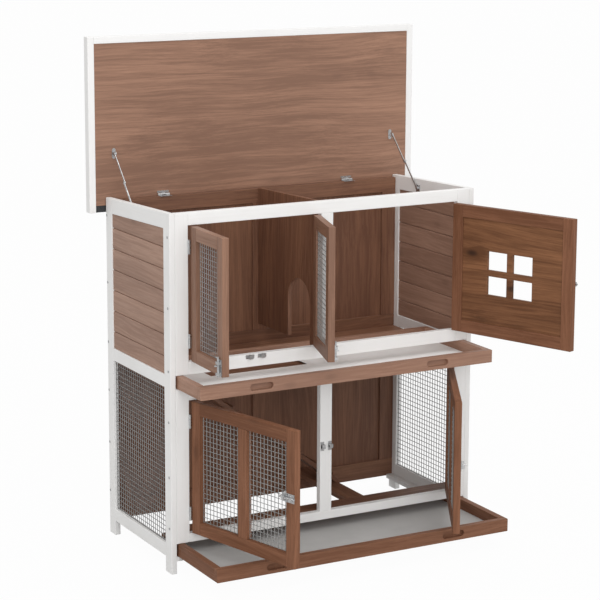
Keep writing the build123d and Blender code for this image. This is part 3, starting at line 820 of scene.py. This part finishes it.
# ---------------------------------------------------------------- doors
# Five stained doors, each four boards with mesh behind them; the wide lower doors
# have a bar down the middle. Each is made shut and then swung open about its pins.
joints = {joint["name"]: joint for joint in frame["joints"]}
DOOR_THICK = 0.018
DOOR_STILE = 0.031
DOOR_RAIL = 0.033
PIN_PROUD = 0.004
EDGE_FROM_PIN = 0.00075
MESH_SET_IN = 0.011
door_stain = stain(
    "door_stain", (0.31, 0.162, 0.101), (0.205, 0.1, 0.059), (0.075, 0.037, 0.022), 0.2, coat=0.08
)
# Doors 3, 4 and 5 take a darker, redder copy of the door stain, which paints the shade that falls on them.
door_stain_painted_shade = stain(
    "door_stain_painted_shade", (0.27, 0.122, 0.068), (0.158, 0.066, 0.034), (0.055, 0.027, 0.017), 0.3, shine=0.15
)
panel_stain = stain(
    "panel_stain", (0.285, 0.13, 0.063), (0.135, 0.058, 0.028), (0.045, 0.022, 0.014), 0.9, shine=0.15
)


def swung(piece, pin, turn):
    """Turns a door that was made shut about its hinge pins."""
    piece.data.transform(Matrix.Translation(pin) @ Matrix.Rotation(turn, 4, "Z") @ Matrix.Translation(-pin))
    return piece


def reach(pin, hand, a, b):
    """Two distances from the hinge edge turned into an x range."""
    ends = [pin.x + hand * (EDGE_FROM_PIN + d) for d in (a, b)]
    return (min(ends), max(ends))


SMALL_DOOR = 0.1873
WIDE_DOOR = 0.3778
MIDDLE_BAR = (0.1734, 0.2044)
door_sizes = [(1, SMALL_DOOR, ()), (2, SMALL_DOOR, ()), (3, WIDE_DOOR, ())]
door_sizes += [(4, WIDE_DOOR, MIDDLE_BAR), (5, WIDE_DOOR, MIDDLE_BAR)]
for number, width, bars in door_sizes:
    body = f"door_{number}"
    hinge = joints[f"{body}_hinge"]
    hand = -hinge["axis"][2]
    turn = hand * math.radians(hinge["range_deg"][0])
    low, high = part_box(f"{body}_frame")
    z = (low.z, high.z)
    rails = (z[0] + DOOR_RAIL, z[1] - DOOR_RAIL)
    pin = Vector((hinge["pos_m"][0], hinge["pos_m"][1], 0.0))
    y = (pin.y + PIN_PROUD, pin.y + PIN_PROUD + DOOR_THICK)
    opening = reach(pin, hand, DOOR_STILE, width - DOOR_STILE)
    parts = [
        board(reach(pin, hand, 0.0, DOOR_STILE), y, z, "z"),
        board(reach(pin, hand, width - DOOR_STILE, width), y, z, "z"),
        board(opening, y, (z[0], rails[0]), "x"),
        board(opening, y, (rails[1], z[1]), "x"),
    ]
    bays = [opening]
    if bars:
        parts.append(board(reach(pin, hand, *bars), y, rails, "z"))
        bays = [reach(pin, hand, DOOR_STILE, bars[0]), reach(pin, hand, bars[1], width - DOOR_STILE)]
    made = swung(planed(joined(f"{body}_boards", parts)), pin, turn)
    fit(made, door_stain if number < 3 else door_stain_painted_shade, body, "brown_wood", f"{body}_frame")
    if number == 3:
        continue
    sheets = []
    for bay in bays:
        corner = Vector((bay[0], y[0] + MESH_SET_IN + WIRE / 2, rails[0]))
        sheets += grille(corner, ALONG_X, bay[1] - bay[0], rails[1] - rails[0], ALONG_Y)
    made = swung(joined(f"{body}_wire", sheets), pin, turn)
    fit(made, galvanised_wire, body, "mesh", f"{body}_mesh")

# The third door is filled with a boarded panel, and a window of four small lights
# is cut through it.
hinge = joints["door_3_hinge"]
turn = -hinge["axis"][2] * math.radians(hinge["range_deg"][0])
along = Vector((math.cos(turn), math.sin(turn), 0.0))
panel = eased_copy("door_3_boarding", "door_3_panel", along, UPWARDS, 0.0006)
fit(panel, panel_stain, "door_3", "brown_wood", "door_3_panel")


# ---------------------------------------------------------------- ironmongery
# Butt hinges, barrel bolts, keepers, screws and the folding stays are pressed from
# steel and bright zinc plated, with a slightly cloudy shine.
def zinc_plate():
    made, nodes, shader = new_material("zinc_plate")
    cloud = spots(nodes, (130.0, 130.0, 130.0), 4.0)
    scratch = spots(nodes, (1800.0, 1800.0, 240.0), 2.0)
    bright = (0.64, 0.645, 0.65, 1.0)
    dull = (0.46, 0.465, 0.475, 1.0)
    mottled = mixed(nodes, ranged(nodes, cloud, 0.35, 0.7), bright, dull)
    nodes.links.new(mottled, shader.inputs["Base Color"])
    nodes.links.new(ranged(nodes, cloud, 0.3, 0.7, 0.22, 0.42), shader.inputs["Roughness"])
    raised(nodes, shader, scratch, 0.12, 0.0002)
    shader.inputs["Metallic"].default_value = 1.0
    return made


bright_zinc = zinc_plate()
ironmongery = ["door_hinge_leaves", "keepers", "roof_hinge_fixed", "roof_hinge_moving", "side_screws"]
ironmongery += ["stay_brackets_wall", "stay_brackets_roof"]
ironmongery += [f"stay_{link}_{side}" for link in ("upper", "lower") for side in ("left", "right")]
for number in range(1, 6):
    ironmongery += [f"door_{number}_leaves", f"door_{number}_bolt_plate", f"door_{number}_bolt"]
for node in ironmongery:
    piece = frame["nodes"][node]
    for slot in piece.material_slots:
        slot.material = bright_zinc


# ---------------------------------------------------------------- roof
# The lid is a wide veneered board in a white edging on three sides. Black mineral
# felt covers its outside and is wrapped round the rear edge.
low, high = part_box("roof_frame")
EDGING = 0.0185
y = (low.y, high.y)
parts = [
    board((low.x, low.x + EDGING), y, (low.z, high.z), "z"),
    board((high.x - EDGING, high.x), y, (low.z, high.z), "z"),
    board((low.x + EDGING, high.x - EDGING), y, (high.z - EDGING, high.z), "x"),
]
fit(planed(joined("roof_edging", parts)), white_enamel, "roof", "white_wood", "roof_frame")

lid_stain = stain(
    "lid_stain",
    (0.385, 0.207, 0.133),
    (0.225, 0.115, 0.072),
    (0.11, 0.056, 0.036),
    0.18,
    bump=0.4,
    depth=0.0005,
    coat=0.12,
)
low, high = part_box("roof_panel")
veneer = board((low.x, high.x), (low.y, high.y), (low.z, high.z), "x", 0.0005)
lid = planed(joined("roof_boarding", [veneer]))
fit(lid, lid_stain, "roof", "brown_wood", "roof_panel")


def mineral_felt():
    made, nodes, shader = new_material("mineral_felt")
    grit = spots(nodes, (1500.0, 1500.0, 1500.0), 2.0)
    worn = spots(nodes, (14.0, 14.0, 14.0), 4.0)
    black = (0.022, 0.023, 0.025, 1.0)
    grey = (0.085, 0.085, 0.09, 1.0)
    speck = mixed(nodes, ranged(nodes, grit, 0.45, 0.7), black, grey)
    faded = mixed(nodes, ranged(nodes, worn, 0.45, 0.8, 0.0, 0.35), speck, (0.10, 0.10, 0.10, 1.0))
    nodes.links.new(faded, shader.inputs["Base Color"])
    nodes.links.new(ranged(nodes, grit, 0.3, 0.7, 0.72, 0.95), shader.inputs["Roughness"])
    raised(nodes, shader, grit, 0.7, 0.0008)
    return made


felt = eased_copy("roof_felt_sheet", "roof_felt", ALONG_X, UPWARDS, 0.0012)
fit(felt, mineral_felt(), "roof", "felt", "roof_felt")


# ---------------------------------------------------------------- overall bounds
low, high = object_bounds()
